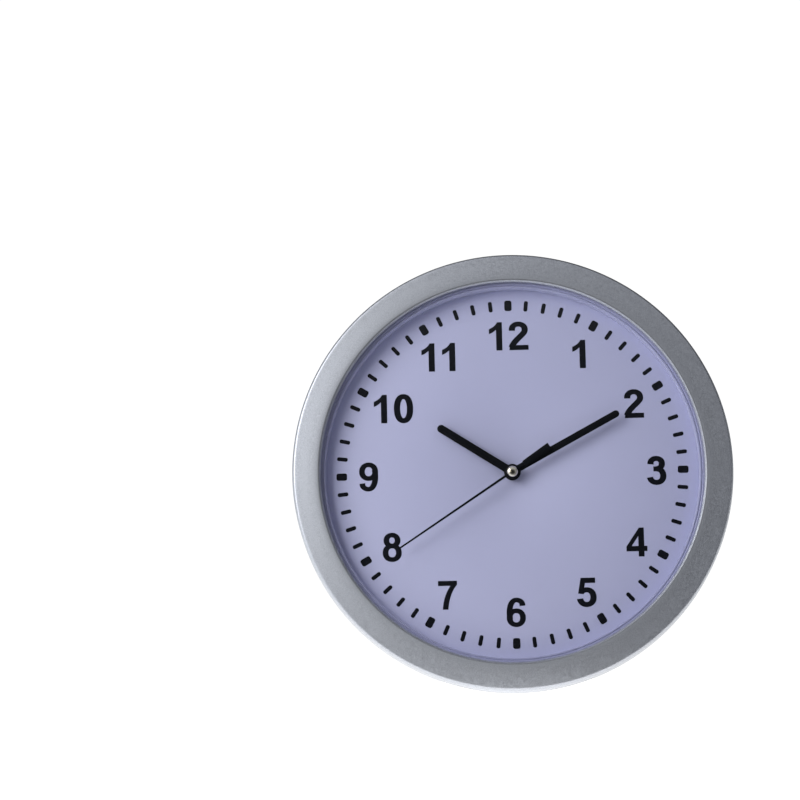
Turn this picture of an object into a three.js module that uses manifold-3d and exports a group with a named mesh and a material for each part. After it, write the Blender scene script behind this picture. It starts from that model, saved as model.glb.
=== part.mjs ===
// Round wall clock whose front is a hinged door over a shallow hidden compartment.
// Units are millimetres. The origin is the centre of the flat back face on the clock's axis,
// the front faces -Y, +Z points to 12 o'clock and +X to 3 o'clock. "d" is the distance in front
// of the back face, so y = -d.
import * as THREE from 'three';
import { mergeVertices } from 'three/addons/utils/BufferGeometryUtils.js';
import Module from 'manifold-3d';

const wasm = await Module();
wasm.setup();

// ---------------------------------------------------------------- driving dimensions
const SEG = 48;              // facets of the big turned pieces
const R_OUT = 126;           // outer radius of the clock, at the rear edge of the ring
const DEPTH = 60;            // back face to the crown of the ring
const BACK = 3;              // thickness of the housing's back
const R_BOX = 116;           // outer radius of the hidden box, stepped in behind the ring
const R_BOX_IN = 113.8;      // inside of its wall
const WALL_TOP = 44.1;       // front edge of the box
const R_SKIRT_IN = 123.6;    // inside of the ring's skirt
const SKIRT_END = 43.0;      // rear edge of the ring's skirt
const R_SIGHT = 109.4;       // inner edge of the ring's face
const HINGE_X = -119.5;      // hinge axis, in the space between the box and the skirt
const HINGE_D = 41.0;
const HINGE_R = 1.8;         // knuckle radius
const HINGE_BORE = 0.95;
const PIN_R = 0.85;
const KNUCKLE_DOOR = 5.6;    // half length of the door's knuckle
const KNUCKLE_IN = 6.0;      // box knuckles from here
const KNUCKLE_OUT = 16.0;    // to here
const MAGNET_X = 106.5;      // catch magnet and its strike plate
const PAN_BOLT_R = 119;      // circle of the pan screws
const SHELF_Z = 36;          // shelves of the insert
const DIVIDER_X = 40;        // upright dividers
const SHELF_FRONT = 40.5;
const INSERT_SCREW = [62, 58];
const KEYHOLE_Z = 84;        // round end of the hanging keyhole
const CASE = 28;             // half size of the movement case
const CASE_D0 = 26.9;
const CASE_D1 = 43.4;
const CASE_WALL = 1.5;
const DIAL_D0 = 46.3;
const DIAL_D1 = 46.9;
const R_DIAL = 109.3;
const R_REVEAL = 106.8;      // inside of the ring that stands between dial and lens
const CELL_R = 7.1;          // AA cell
const CELL_Z = -19.2;
const CELL_D = 34.35;

// axes of the movement, as (x, z)
const AX_C = [0, 0];
const AX_T = polar([0, 0], 10.2, 140);
const AX_I = polar([0, 0], 8.4, 60);
const AX_R = polar(AX_I, 8.4, 20);
const AX_M = polar([0, 0], 8.0, -8.6);
const AX_K = polar(AX_M, 8.0, -10);

// modules of the gear pairs
const M_ROTOR = 16.8 / 42;     // rotor 6, intermediate wheel 36
const M_INTER = 16.8 / 36;     // intermediate pinion 6, second wheel 30
const M_THIRD = 20.4 / 51;     // second pinion 6, third wheel 45
const M_CENTRE = 20.4 / 54;    // third pinion 6, centre wheel 48
const M_MOTION = 0.4;          // cannon pinion 10, minute wheel 30 and 8, hour wheel 32, knob 10

// hands: clockwise angle from 12 in degrees, length from the axis, width
const HOUR_HAND = [303.0, 50.2, 4.6];
const MINUTE_HAND = [61.8, 70.2, 4.0];
const SECOND_HAND = [236.8, 77.9, 1.2];

// ---------------------------------------------------------------- helpers
function polar(c, r, deg) {
  const a = (deg * Math.PI) / 180;
  return [c[0] + r * Math.cos(a), c[1] + r * Math.sin(a)];
}

function solid(g) {
  g = g.clone();
  g.deleteAttribute('normal');
  g.deleteAttribute('uv');
  g.clearGroups();
  const m = mergeVertices(g, 1e-4);
  const p = m.attributes.position.array;
  const idx = Array.from(m.index.array);
  const tri = [];
  let vol = 0;
  for (let i = 0; i < idx.length; i += 3) {
    const [a, b, c] = [idx[i], idx[i + 1], idx[i + 2]];
    if (a === b || b === c || a === c) continue;
    tri.push(a, b, c);
    const A = [p[a * 3], p[a * 3 + 1], p[a * 3 + 2]];
    const B = [p[b * 3], p[b * 3 + 1], p[b * 3 + 2]];
    const C = [p[c * 3], p[c * 3 + 1], p[c * 3 + 2]];
    vol += A[0] * (B[1] * C[2] - B[2] * C[1]) - A[1] * (B[0] * C[2] - B[2] * C[0]) + A[2] * (B[0] * C[1] - B[1] * C[0]);
  }
  if (vol < 0) for (let i = 0; i < tri.length; i += 3) [tri[i], tri[i + 1]] = [tri[i + 1], tri[i]];
  return new wasm.Manifold(
    new wasm.Mesh({ numProp: 3, vertProperties: new Float32Array(p), triVerts: new Uint32Array(tri) })
  );
}

function geometry(man) {
  const mesh = man.getMesh();
  const g = new THREE.BufferGeometry();
  g.setAttribute('position', new THREE.BufferAttribute(new Float32Array(mesh.vertProperties), 3));
  g.setIndex(new THREE.BufferAttribute(new Uint32Array(mesh.triVerts), 1));
  g.computeVertexNormals();
  return g;
}

// revolve (r, d) points about the clock's axis
function turn(points, seg = SEG) {
  return solid(new THREE.LatheGeometry(points.map(([r, d]) => new THREE.Vector2(r, -d)), seg));
}

function ring(r0, r1, d0, d1, seg = SEG, c = [0, 0]) {
  return turn([[r0, d0], [r1, d0], [r1, d1], [r0, d1], [r0, d0]], seg).translate([c[0], 0, c[1]]);
}

function rod(c, r, d0, d1, seg = 16) {
  const g = new THREE.CylinderGeometry(r, r, d1 - d0, seg);
  g.translate(c[0], -(d0 + d1) / 2, c[1]);
  return solid(g);
}

function rodZ(x, d, r, z0, z1, seg = 20) {
  const g = new THREE.CylinderGeometry(r, r, z1 - z0, seg);
  g.rotateX(Math.PI / 2);
  g.translate(x, -d, (z0 + z1) / 2);
  return solid(g);
}

function rodX(z, d, r, x0, x1, seg = 20) {
  const g = new THREE.CylinderGeometry(r, r, x1 - x0, seg);
  g.rotateZ(Math.PI / 2);
  g.translate((x0 + x1) / 2, -d, z);
  return solid(g);
}

function box(x0, x1, d0, d1, z0, z1) {
  const g = new THREE.BoxGeometry(x1 - x0, d1 - d0, z1 - z0);
  g.translate((x0 + x1) / 2, -(d0 + d1) / 2, (z0 + z1) / 2);
  return solid(g);
}

// extrude an outline in (x, z) from d0 to d1
function plate(points, d0, d1, holes = []) {
  const s = new THREE.Shape(points.map(([x, z]) => new THREE.Vector2(x, z)));
  for (const h of holes) s.holes.push(new THREE.Path(h.map(([x, z]) => new THREE.Vector2(x, z))));
  const g = new THREE.ExtrudeGeometry(s, { depth: d1 - d0, bevelEnabled: false, curveSegments: 1 });
  g.translate(0, 0, d0);
  g.rotateX(Math.PI / 2);
  return solid(g);
}

function circle(c, r, n = 16) {
  return Array.from({ length: n }, (_, i) => polar(c, r, (i * 360) / n));
}

function gearOutline(z, m, phase, c) {
  const rp = (m * z) / 2;
  const ra = rp + 0.85 * m;
  const rf = rp - 1.15 * m;
  const half = Math.PI / z;
  const tip = (0.3 * m) / ra;
  const root = Math.min((0.98 * m) / rf, half * 0.86);
  const out = [];
  for (let i = 0; i < z; i++) {
    const a = phase + (i * 2 * Math.PI) / z;
    for (const [t, r] of [[-root, rf], [-tip, ra], [tip, ra], [root, rf]])
      out.push([c[0] + r * Math.cos(a + t), c[1] + r * Math.sin(a + t)]);
  }
  return out;
}

function gear(z, m, phase, c, d0, d1, bore = 0) {
  return plate(gearOutline(z, m, phase, c), d0, d1, bore ? [circle(c, bore)] : []);
}

// phase of gear B so that its teeth fall in the gaps of gear A
function meshPhase(cA, zA, phaseA, cB, zB) {
  const alpha = Math.atan2(cB[1] - cA[1], cB[0] - cA[0]);
  const pitchA = (2 * Math.PI) / zA;
  const pitchB = (2 * Math.PI) / zB;
  let f = (alpha - phaseA) / pitchA;
  f -= Math.floor(f);
  return alpha + Math.PI + (f - 0.5) * pitchB;
}

function join(first, ...rest) {
  return rest.reduce((a, b) => a.add(b), first);
}

function cut(first, ...rest) {
  return rest.reduce((a, b) => a.subtract(b), first);
}

const clock = new THREE.Group();

function piece(name, man, color, roughness, metalness, extra = {}) {
  const mat = new THREE.MeshStandardMaterial({ color, roughness, metalness, ...extra });
  const mesh = new THREE.Mesh(geometry(man), mat);
  mesh.name = name;
  clock.add(mesh);
  return mesh;
}

const SILVER = [0xbfbfbd, 0.38, 0.65];
const BLACK = [0x17181b, 0.55, 0.0];
const STEEL = [0xa9adb3, 0.32, 1.0];
const BRASS = [0xc79a4b, 0.35, 1.0];
const LAVENDER = [0xa8aaca, 0.62, 0.0];
const INK = [0x12141a, 0.45, 0.0];
const NYLON = [0xe6e2d6, 0.55, 0.0];

// ---------------------------------------------------------------- the hidden box
{
  let h = turn([
    [0, 0], [110.3, 0], [112.9, 0.6], [115.1, 2.4], [R_BOX, 5.2], [R_BOX, WALL_TOP], [R_BOX_IN, WALL_TOP],
    [R_BOX_IN, 6.6], [112.7, 4.2], [110.7, BACK], [0, BACK],
  ]);
  // hinge knuckles on a short web from the wall
  for (const s of [-1, 1]) {
    const [a, b] = s > 0 ? [KNUCKLE_IN, KNUCKLE_OUT] : [-KNUCKLE_OUT, -KNUCKLE_IN];
    h = join(h, box(HINGE_X, -114.6, HINGE_D - HINGE_R, HINGE_D + HINGE_R, a, b), rodZ(HINGE_X, HINGE_D, HINGE_R, a, b));
  }
  h = cut(h, rodZ(HINGE_X, HINGE_D, HINGE_BORE, -KNUCKLE_OUT - 1, KNUCKLE_OUT + 1, 16));
  // bracket for the catch magnet
  h = join(h, box(MAGNET_X - 6, 114.8, 33, 43.2, -6.5, 6.5));
  h = cut(h, rod([MAGNET_X, 0], 4.15, 40.2, 44, 20));
  // hanging keyhole with its closed pocket
  h = join(h, box(-8, 8, BACK - 0.5, 10, KEYHOLE_Z - 8, KEYHOLE_Z + 15));
  h = cut(h, box(-6.5, 6.5, 2.4, 8.5, KEYHOLE_Z - 6.5, KEYHOLE_Z + 13.5));
  h = cut(
    h,
    rod([0, KEYHOLE_Z], 4.2, -1, 3.2, 20),
    box(-1.9, 1.9, -1, 3.2, KEYHOLE_Z, KEYHOLE_Z + 8),
    rod([0, KEYHOLE_Z + 8], 1.9, -1, 3.2, 12)
  );
  for (const sx of [-1, 1])
    for (const sz of [-1, 1]) {
      const c = [sx * INSERT_SCREW[0], sz * INSERT_SCREW[1]];
      h = cut(h, rod(c, 3.4, -1, 1.6, 16), rod(c, 1.8, 1, 4, 12));
    }
  piece('rear_housing', h, ...BLACK);
}

{
  let n = rod([0, 0], 110.2, 3.2, 4.8, SEG);
  for (const s of [-1, 1]) {
    const z0 = s * SHELF_Z - 1, z1 = s * SHELF_Z + 1;
    n = join(n, box(-104.5, 104.5, 4.4, SHELF_FRONT, z0, z1));
    n = join(n, box(s * DIVIDER_X - 1, s * DIVIDER_X + 1, 4.4, SHELF_FRONT, -SHELF_Z, SHELF_Z));
  }
  // lips that keep things on the two shelves
  n = join(n, box(-101, 101, 38.5, SHELF_FRONT, SHELF_Z, 47), box(-101, 101, 38.5, SHELF_FRONT, -SHELF_Z, -29.5));
  for (const sx of [-1, 1])
    for (const sz of [-1, 1]) {
      const c = [sx * INSERT_SCREW[0], sz * INSERT_SCREW[1]];
      n = join(n, rod(c, 3.6, 4.4, 9.4, 16));
      n = cut(n, rod(c, 1.5, 2, 8.4, 12));
    }
  n = cut(n, box(-8.4, 8.4, 2, 6, KEYHOLE_Z - 8.4, KEYHOLE_Z + 15.4));
  piece('compartment_insert', n, ...BLACK);
}

{
  let k = 1;
  for (const sx of [-1, 1])
    for (const sz of [-1, 1]) {
      const c = [sx * INSERT_SCREW[0], sz * INSERT_SCREW[1]];
      const s = cut(join(rod(c, 3.0, 0.3, 1.5, 12), rod(c, 1.35, 1.2, 7.8, 8)), box(c[0] - 2.2, c[0] + 2.2, 0, 0.8, c[1] - 0.35, c[1] + 0.35));
      piece(`insert_screw_${k++}`, s, ...STEEL);
    }
}

piece('hinge_pin', rodZ(HINGE_X, HINGE_D, PIN_R, -15.8, 15.8, 12), ...STEEL);
piece('catch_magnet', rod([MAGNET_X, 0], 4.0, 40.3, 43.0, 20), 0x8f9296, 0.3, 1.0);

// ---------------------------------------------------------------- the door
{
  let b = turn([
    [R_SIGHT, 57.8], [R_SIGHT, 58.1], [111.2, 59.85], [113.2, DEPTH], [118, 59.68], [124.1, 59.2],
    [125.2, 58.6], [125.65, 57.4], [R_OUT, SKIRT_END], [R_SKIRT_IN, SKIRT_END],
    [R_SKIRT_IN - 0.2, 56.4], [122, 57.8], [R_SIGHT, 57.8],
  ]);
  for (let i = 0; i < 6; i++) b = join(b, rod(polar([0, 0], PAN_BOLT_R, 30 + 60 * i), 2.8, 46.4, 58, 14));
  b = join(
    b,
    box(-124.2, -118.4, HINGE_D, 44.2, -KNUCKLE_DOOR, KNUCKLE_DOOR),
    rodZ(HINGE_X, HINGE_D, HINGE_R, -KNUCKLE_DOOR, KNUCKLE_DOOR)
  );
  b = cut(b, rodZ(HINGE_X, HINGE_D, HINGE_BORE, -KNUCKLE_DOOR - 1, KNUCKLE_DOOR + 1, 16));
  for (let i = 0; i < 6; i++) b = cut(b, rod(polar([0, 0], PAN_BOLT_R, 30 + 60 * i), 1.45, 46, 54, 10));
  piece('bezel', b, ...SILVER);
}

piece('lens', rod([0, 0], 113.8, 56.2, 57.7, SEG), 0xf2f6f8, 0.05, 0, { transparent: true, opacity: 0.2 });

{
  let p = turn([
    [4.2, 44.4], [121.6, 44.4], [121.6, 46.2], [112.6, 46.2], [112.6, 49.2], [111.3, 49.2], [111.3, 46.2],
    [4.2, 46.2], [4.2, 44.4],
  ]);
  for (let i = 0; i < 6; i++) p = cut(p, rod(polar([0, 0], PAN_BOLT_R, 30 + 60 * i), 1.6, 44, 47, 10));
  // two snap hooks that hold the movement from behind
  for (const s of [-1, 1]) {
    const arm = s > 0 ? [CASE + 0.3, CASE + 1.9] : [-CASE - 1.9, -CASE - 0.3];
    const barb = s > 0 ? [CASE - 0.75, CASE + 0.4] : [-CASE - 0.4, -CASE + 0.75];
    p = join(p, box(arm[0], arm[1], 39.0, 44.6, -6, 6), box(barb[0], barb[1], 39.8, 40.8, -6, 6));
  }
  piece('dial_pan', p, 0x9c9cc0, 0.5, 0);
}
piece('dial', ring(4.2, R_DIAL, DIAL_D0, DIAL_D1), ...LAVENDER);

// the ring that holds the dial down and carries the lens: a straight inside, a bevelled top and a fine groove
piece(
  'spacer_ring',
  turn([
    [R_REVEAL, 47.2], [111, 47.2], [111, 55.9], [109.5, 55.9], [109.5, 54.2], [108.7, 54.2], [108.7, 55.0],
    [R_REVEAL, 53.4], [R_REVEAL, 47.2],
  ]),
  0x9c9cc0, 0.5, 0
);

for (let i = 0; i < 6; i++) {
  const c = polar([0, 0], PAN_BOLT_R, 30 + 60 * i);
  const s = cut(join(rod(c, 2.3, 42.9, 44.3, 12), rod(c, 1.2, 44.2, 52, 8)), box(c[0] - 1.8, c[0] + 1.8, 42.5, 43.5, c[1] - 0.3, c[1] + 0.3));
  piece(`pan_screw_${i + 1}`, s, ...STEEL);
}

piece('strike_plate', box(MAGNET_X - 5, MAGNET_X + 5, 43.7, 44.3, -6, 6), ...STEEL);
piece('rubber_washer', ring(4.4, 9, 43.5, 44.3, 16), 0x111111, 0.8, 0);

// ---------------------------------------------------------------- the movement
{
  const w = CASE_WALL, q = CASE - w;
  let c = box(-CASE, CASE, CASE_D0, CASE_D1, -CASE, CASE);
  c = cut(c, box(-q, q, CASE_D0 - 1, CASE_D1 - w, -10.4, q), box(-q, q, CASE_D0 - 1, CASE_D1 - w, -q, -11.9));
  c = join(c, rod([0, 0], 4.0, CASE_D1 - 0.5, 47.8, 24));
  c = cut(c, rod([0, 0], 2.9, CASE_D1 - w - 1, 50, 24));
  c = join(c, rod(AX_M, 0.5, 37.2, 42.2, 10));
  for (const p of [[-15.5, 19.3], [22, 14], [21.5, -6.5]]) c = join(c, rod(p, 1.5, 35.05, 42.2, 10));
  // seats of the pan's snap hooks
  c = cut(c, box(-CASE - 1, -CASE + 1.05, 39.5, 41.1, -6.5, 6.5), box(CASE - 1.05, CASE + 1, 39.5, 41.1, -6.5, 6.5));
  // finger cut in the edge of the cell bay
  c = cut(c, box(-8, 8, CASE_D0 - 1, 31, -CASE - 1, -q + 0.5));
  piece('movement_case', c, ...BLACK);
}
piece(
  'movement_cover',
  cut(box(-26.3, 26.3, CASE_D0, 28.4, -10.2, 26.3), rod(AX_K, 1.1, 26, 29, 12)),
  0x1e1f22, 0.6, 0
);
piece(
  'middle_plate',
  plate(
    [[-17.5, -9.6], [24.6, -9.6], [24.6, 17.6], [-12, 17.6], [-12, 21.6], [-17.5, 21.6]],
    34.3, 35.0,
    [circle([0, 0], 0.75, 10), circle(AX_T, 0.65, 10), circle(AX_I, 0.6, 10), circle(AX_R, 0.55, 10), circle(AX_K, 1.1, 10)]
  ),
  0x2a2c30, 0.55, 0
);
piece(
  'stator',
  plate(
    [[-11, 24], [-11, 16.3], [7.2, 16.3], [7.2, 5.1], [17.2, 5.1], [17.2, 24], [13.8, 24], [13.8, 18.1], [-7.3, 18.1], [-7.3, 24]],
    31.6, 32.6, [circle(AX_R, 3.3, 20)]
  ),
  0x8d9298, 0.4, 1.0
);
piece('coil_core', box(-10.9, 17.1, 32.7, 33.7, 20.5, 23.5), 0x9aa0a6, 0.4, 1.0);
{
  const g = solid(new THREE.LatheGeometry(
    [[1.75, -6.6], [3.7, -6.6], [3.7, -6.0], [3.3, -6.0], [3.3, 12.4], [3.7, 12.4], [3.7, 13], [1.75, 13], [1.75, -6.6]]
      .map(([r, x]) => new THREE.Vector2(r, x)), 20).rotateZ(-Math.PI / 2).translate(0, -33.2, 22));
  piece('coil_winding', g, 0xb5652b, 0.4, 0.6);
}
piece('circuit_board', box(-26.2, -18.2, 30.4, 32.0, -9.6, 25), 0x1f5a37, 0.5, 0);
piece('quartz_crystal', rodZ(-22, 33.1, 1.0, 2, 8, 12), ...STEEL);
piece('contact_positive', box(25.95, 26.4, 28.6, 41.2, -25, -13.4), ...STEEL);
{
  const cone = new THREE.CylinderGeometry(4.2, 1.8, 1.5, 16);
  cone.rotateZ(Math.PI / 2);
  cone.translate(-25.35, -CELL_D, CELL_Z);
  piece('contact_negative', join(box(-26.4, -26.0, 28.6, 41.2, -25, -13.4), solid(cone)), ...STEEL);
}
piece(
  'battery_aa',
  join(rodX(CELL_Z, CELL_D, CELL_R, -24.4, 24.8, 24), rodX(CELL_Z, CELL_D, 2.75, 24.6, 25.8, 16)),
  0xb08a3a, 0.35, 0.6
);

// going train: rotor, intermediate, second, third and centre wheels
const phaseInterPinion = meshPhase(AX_C, 30, 0, AX_I, 6);
const phaseRotor = meshPhase(AX_I, 36, 0, AX_R, 6);
const phaseThirdWheel = meshPhase(AX_C, 6, 0, AX_T, 45);
const phaseCentre = meshPhase(AX_T, 6, 0, AX_C, 48);

piece(
  'rotor',
  join(rod(AX_R, 0.4, 28.5, 34.9, 10), gear(6, M_ROTOR, phaseRotor, AX_R, 28.7, 30.2), rod(AX_R, 2.9, 31.0, 34.0, 20), rod(AX_R, 1.0, 30.1, 31.1, 10)),
  0x6d7075, 0.4, 0.8
);
piece(
  'intermediate_wheel',
  join(rod(AX_I, 0.5, 28.5, 34.9, 10), gear(36, M_ROTOR, 0, AX_I, 29.0, 29.9), gear(6, M_INTER, phaseInterPinion, AX_I, 29.8, 32.0)),
  ...NYLON
);
piece(
  'second_wheel',
  join(rod(AX_C, 0.5, 28.5, 54.6, 10), gear(30, M_INTER, 0, AX_C, 30.9, 31.8), gear(6, M_THIRD, 0, AX_C, 31.7, 34.1)),
  ...NYLON
);
piece(
  'third_wheel',
  join(rod(AX_T, 0.5, 28.5, 41.8, 10), gear(45, M_THIRD, phaseThirdWheel, AX_T, 32.9, 33.8), gear(6, M_CENTRE, 0, AX_T, 35.3, 37.0)),
  ...NYLON
);
piece('centre_wheel', gear(48, M_CENTRE, phaseCentre, AX_C, 35.6, 36.6, 1.75), ...NYLON);

// motion works: cannon pinion, minute wheel, hour wheel, setting knob
const phaseMinuteWheel = meshPhase(AX_C, 10, 0, AX_M, 30);
const phaseHour = meshPhase(AX_M, 8, 0, AX_C, 32);
const phaseKnob = meshPhase(AX_M, 30, phaseMinuteWheel, AX_K, 10);
piece(
  'minute_arbor',
  cut(join(rod(AX_C, 1.6, 35.2, 53.3, 16), gear(10, M_MOTION, 0, AX_C, 37.4, 38.9)), rod(AX_C, 0.8, 34, 54, 12)),
  ...BRASS
);
piece(
  'minute_wheel',
  cut(join(gear(30, M_MOTION, phaseMinuteWheel, AX_M, 37.6, 38.7), gear(8, M_MOTION, 0, AX_M, 38.6, 41.4)), rod(AX_M, 0.65, 37, 42, 10)),
  ...NYLON
);
piece(
  'hour_wheel',
  cut(join(gear(32, M_MOTION, phaseHour, AX_C, 39.9, 41.2), rod(AX_C, 2.5, 40, 51.7, 16)), rod(AX_C, 1.9, 39, 52, 16)),
  ...NYLON
);
{
  const grip = Array.from({ length: 32 }, (_, i) => polar(AX_K, i % 2 ? 5.0 : 4.7, (i * 360) / 32));
  piece(
    'setting_knob',
    join(plate(grip, 23.4, 26.4), rod(AX_K, 0.8, 26.3, 41.7, 10), gear(10, M_MOTION, phaseKnob, AX_K, 37.6, 38.7)),
    ...BLACK
  );
}

// ---------------------------------------------------------------- hands
function along(deg, u, v) {
  // u along the hand, v to its right, as (x, z)
  const a = (deg * Math.PI) / 180;
  return [u * Math.sin(a) + v * Math.cos(a), u * Math.cos(a) - v * Math.sin(a)];
}
function bar(deg, len, width) {
  const out = [];
  const r = width / 2;
  for (let i = 0; i <= 8; i++) {
    const t = Math.PI / 2 - (i * Math.PI) / 8;
    out.push(along(deg, len - r + r * Math.cos(t), -r * Math.sin(t)));
  }
  out.push(along(deg, 0, r), along(deg, 0, -r));
  return out;
}
piece(
  'hour_hand',
  cut(join(plate(bar(...HOUR_HAND), 50.6, 51.4), rod([0, 0], 4.5, 50.6, 51.4, 20)), rod([0, 0], 2.55, 50, 52, 16)),
  ...INK
);
piece(
  'minute_hand',
  cut(join(plate(bar(...MINUTE_HAND), 52.2, 52.9), rod([0, 0], 4.2, 52.2, 52.9, 20)), rod([0, 0], 1.65, 52, 53, 16)),
  ...INK
);
{
  const [a, len, w] = SECOND_HAND;
  const tail = [[-3, -w / 2], [-8, -1.5], [-8, -1.7], [-26, -2.1], [-26, 2.1], [-8, 1.7], [-8, 1.5], [-3, w / 2]].map(([u, v]) => along(a, u, v));
  const needle = [[0, -w / 2], [len, -w / 2 + 0.1], [len, w / 2 - 0.1], [0, w / 2]].map(([u, v]) => along(a, u, v));
  const link = [[-9, -w / 2], [1, -w / 2], [1, w / 2], [-9, w / 2]].map(([u, v]) => along(a, u, v));
  piece(
    'second_hand',
    cut(join(plate(needle, 53.9, 54.2), plate(link, 53.9, 54.2), plate(tail, 53.9, 54.2), rod([0, 0], 3.0, 53.6, 54.2, 20)), rod([0, 0], 0.55, 53, 55, 10)),
    ...INK
  );
}
piece(
  'centre_cap',
  cut(
    turn([[0, 54.25], [3.35, 54.25], [3.35, 54.7], [3.1, 55.15], [2.4, 55.6], [1.3, 55.85], [0, 55.92]], 20),
    rod([0, 0], 0.55, 54, 54.75, 10)
  ),
  0xc9c2b2, 0.2, 1.0
);

export default clock;
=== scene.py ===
"""Looks of the round wall clock whose front is a hinged door over a hidden box.
Metres, +Z to 12 o'clock, the dial faces -Y. Sizes below are in millimetres, and d is the distance in front of the back."""
import math

import bmesh
import bpy
from mathutils import Matrix, Quaternion, Vector
from mathutils.geometry import delaunay_2d_cdt


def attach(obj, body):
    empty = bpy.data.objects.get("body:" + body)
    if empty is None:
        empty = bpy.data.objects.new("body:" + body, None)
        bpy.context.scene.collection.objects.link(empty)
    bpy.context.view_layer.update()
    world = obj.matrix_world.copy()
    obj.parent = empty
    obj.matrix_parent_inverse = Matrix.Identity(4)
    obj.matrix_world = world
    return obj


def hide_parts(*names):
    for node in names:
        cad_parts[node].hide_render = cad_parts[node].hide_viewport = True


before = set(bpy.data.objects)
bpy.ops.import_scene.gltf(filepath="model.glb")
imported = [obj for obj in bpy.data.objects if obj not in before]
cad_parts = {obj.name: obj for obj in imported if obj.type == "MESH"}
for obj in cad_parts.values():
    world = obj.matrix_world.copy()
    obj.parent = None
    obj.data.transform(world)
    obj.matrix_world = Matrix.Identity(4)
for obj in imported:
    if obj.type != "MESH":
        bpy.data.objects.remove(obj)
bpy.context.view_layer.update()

MM = 0.001
scene = bpy.context.scene


# ------------------------------------------------------------------ mesh tools
def link(obj):
    scene.collection.objects.link(obj)
    return obj


def shade(obj, angle=32):
    me = obj.data
    me.polygons.foreach_set("use_smooth", [True] * len(me.polygons))
    me.set_sharp_from_angle(angle=math.radians(angle))
    me.update()
    return obj


def mesh_object(name, verts, faces, angle=32):
    """A mesh object from millimetre points."""
    me = bpy.data.meshes.new(name)
    me.from_pydata([(x * MM, y * MM, z * MM) for x, y, z in verts], [], faces)
    bm = bmesh.new()
    bm.from_mesh(me)
    bmesh.ops.remove_doubles(bm, verts=bm.verts, dist=1e-8)
    bmesh.ops.recalc_face_normals(bm, faces=bm.faces)
    bm.to_mesh(me)
    bm.free()
    return shade(link(bpy.data.objects.new(name, me)), angle)


def bake(obj):
    dg = bpy.context.evaluated_depsgraph_get()
    me = bpy.data.meshes.new_from_object(obj.evaluated_get(dg))
    old = obj.data
    obj.modifiers.clear()
    obj.data = me
    bpy.data.meshes.remove(old)
    me.name = obj.name
    return obj


def boolean(a, operation, *tools):
    for b in tools:
        m = a.modifiers.new("cut", "BOOLEAN")
        m.operation = operation
        m.object = b
        m.solver = "MANIFOLD"
        bake(a)
        data = b.data
        bpy.data.objects.remove(b)
        bpy.data.meshes.remove(data)
    return a


def cut(a, *tools):
    return boolean(a, "DIFFERENCE", *tools)


def join(a, *tools):
    return boolean(a, "UNION", *tools)


def arc(cx, cy, rx, ry, a0, a1, n=16, p=2.0):
    """Points of a superellipse from angle a0 to a1, in degrees."""
    out = []
    for i in range(n + 1):
        t = math.radians(a0 + (a1 - a0) * i / n)
        c, s = math.cos(t), math.sin(t)
        out.append((
            cx + rx * math.copysign(abs(c) ** (2 / p), c),
            cy + ry * math.copysign(abs(s) ** (2 / p), s),
        ))
    return out


def rounded(points, radius, n=5, closed=True):
    """The polyline with its corners turned into arcs. radius is one number, or one for each corner."""
    count = len(points)
    out = []
    for i, q in enumerate(points):
        r = radius if isinstance(radius, (int, float)) else radius[i]
        if not r or (not closed and i in (0, count - 1)):
            out.append(tuple(q))
            continue
        a, p, b = Vector(points[i - 1]), Vector(q), Vector(points[(i + 1) % count])
        u, v = (a - p), (b - p)
        lu, lv = u.length, v.length
        if lu < 1e-6 or lv < 1e-6:
            out.append(tuple(q))
            continue
        u, v = u / lu, v / lv
        dot = max(-1, min(1, u.dot(v)))
        theta = math.acos(dot)
        if theta > math.pi - 0.02:
            out.append(tuple(q))
            continue
        t = min(r / math.tan(theta / 2), 0.49 * lu, 0.49 * lv)
        r = t * math.tan(theta / 2)
        centre = p + (u + v).normalized() * (r / math.sin(theta / 2))
        s, e = p + u * t - centre, p + v * t - centre
        a0 = math.atan2(s.y, s.x)
        a1 = math.atan2(e.y, e.x)
        while a1 - a0 > math.pi:
            a1 -= 2 * math.pi
        while a1 - a0 < -math.pi:
            a1 += 2 * math.pi
        for k in range(n + 1):
            w = a0 + (a1 - a0) * k / n
            out.append((centre.x + r * math.cos(w), centre.y + r * math.sin(w)))
    return out


def spline(points, n=6):
    """A smooth curve through the points."""
    p = [Vector(q) for q in points]
    p = [p[0] * 2 - p[1]] + p + [p[-1] * 2 - p[-2]]
    out = []
    for i in range(1, len(p) - 2):
        for k in range(n):
            t = k / n
            a, b, c, d = p[i - 1], p[i], p[i + 1], p[i + 2]
            out.append(tuple(0.5 * ((2 * b) + (c - a) * t + (2 * a - 5 * b + 4 * c - d) * t * t + (3 * b - a - 3 * c + d) * t ** 3)))
    out.append(tuple(p[-2]))
    return out


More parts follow.
